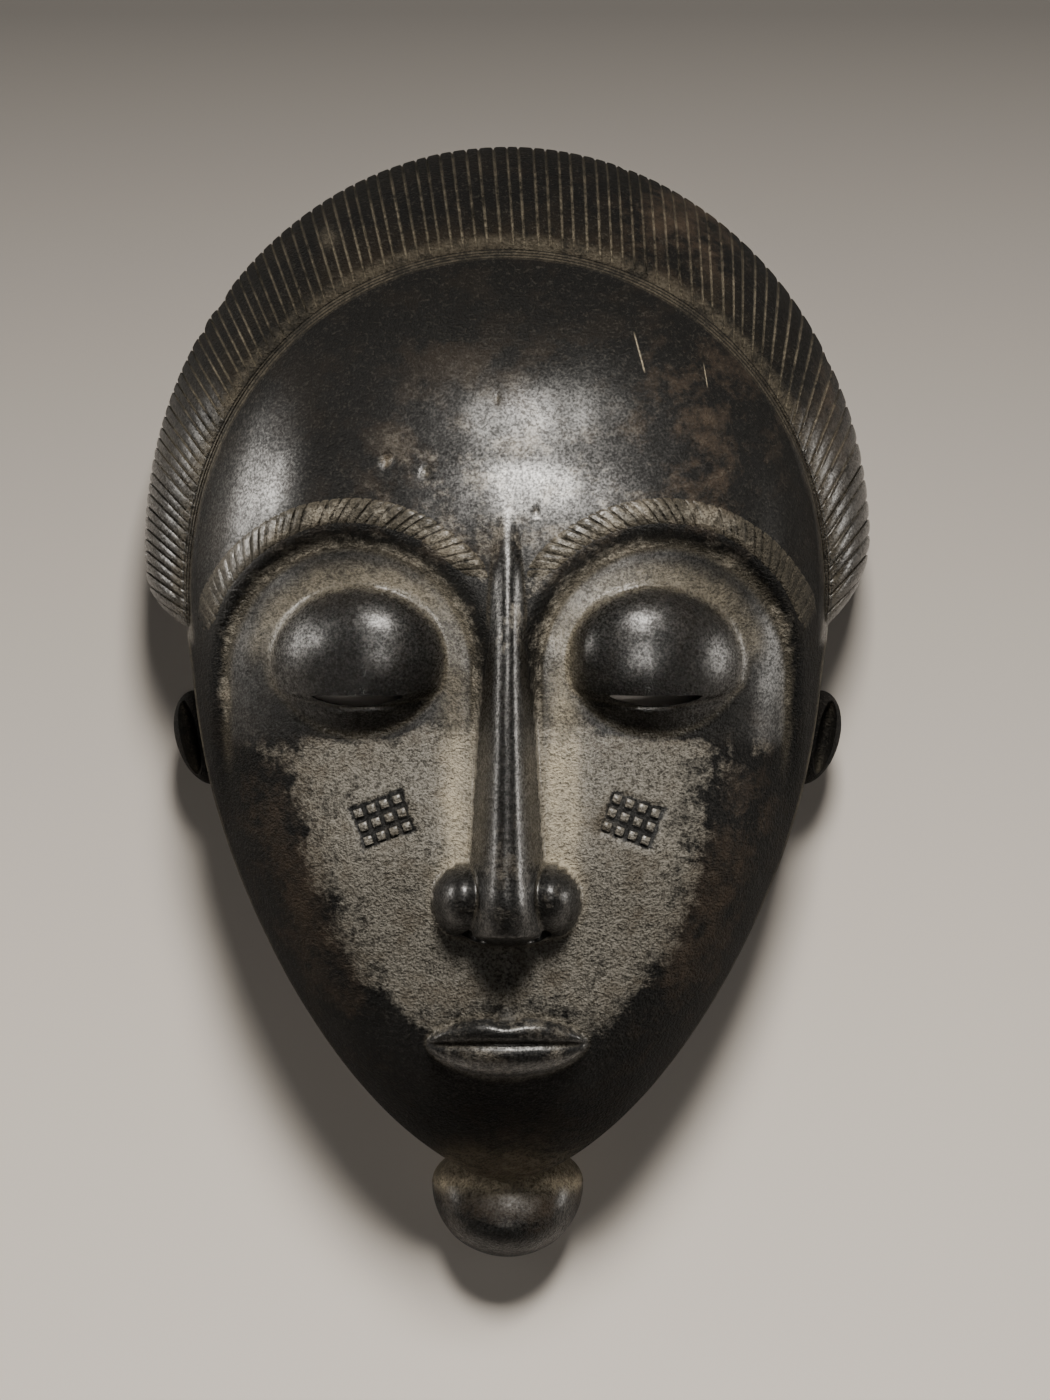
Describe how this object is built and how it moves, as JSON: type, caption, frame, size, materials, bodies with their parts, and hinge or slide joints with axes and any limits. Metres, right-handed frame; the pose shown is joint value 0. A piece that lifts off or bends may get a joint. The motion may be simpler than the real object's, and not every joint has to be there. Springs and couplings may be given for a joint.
{
  "type": "carved face mask",
  "caption": "Carved dark wood face mask with a grooved roll of hair, lidded eye slits, long nose, small ears and a bearded chin, hollow behind for wearing.",
  "frame": {"origin": "centre of the bounding box's plan, on the plane of the back rim", "axes": "+X to the viewer's right, +Y to the crown, +Z out of the face, away from the rim it lies on"},
  "size_m": [0.1759, 0.27, 0.089],
  "materials": {
    "wood": "dark stained and oiled, semi-gloss, worn matt on the cheeks, with pale dust in the cuts"
  },
  "bodies": {
    "root": {"mask": "wood"}
  },
  "joints": []
}
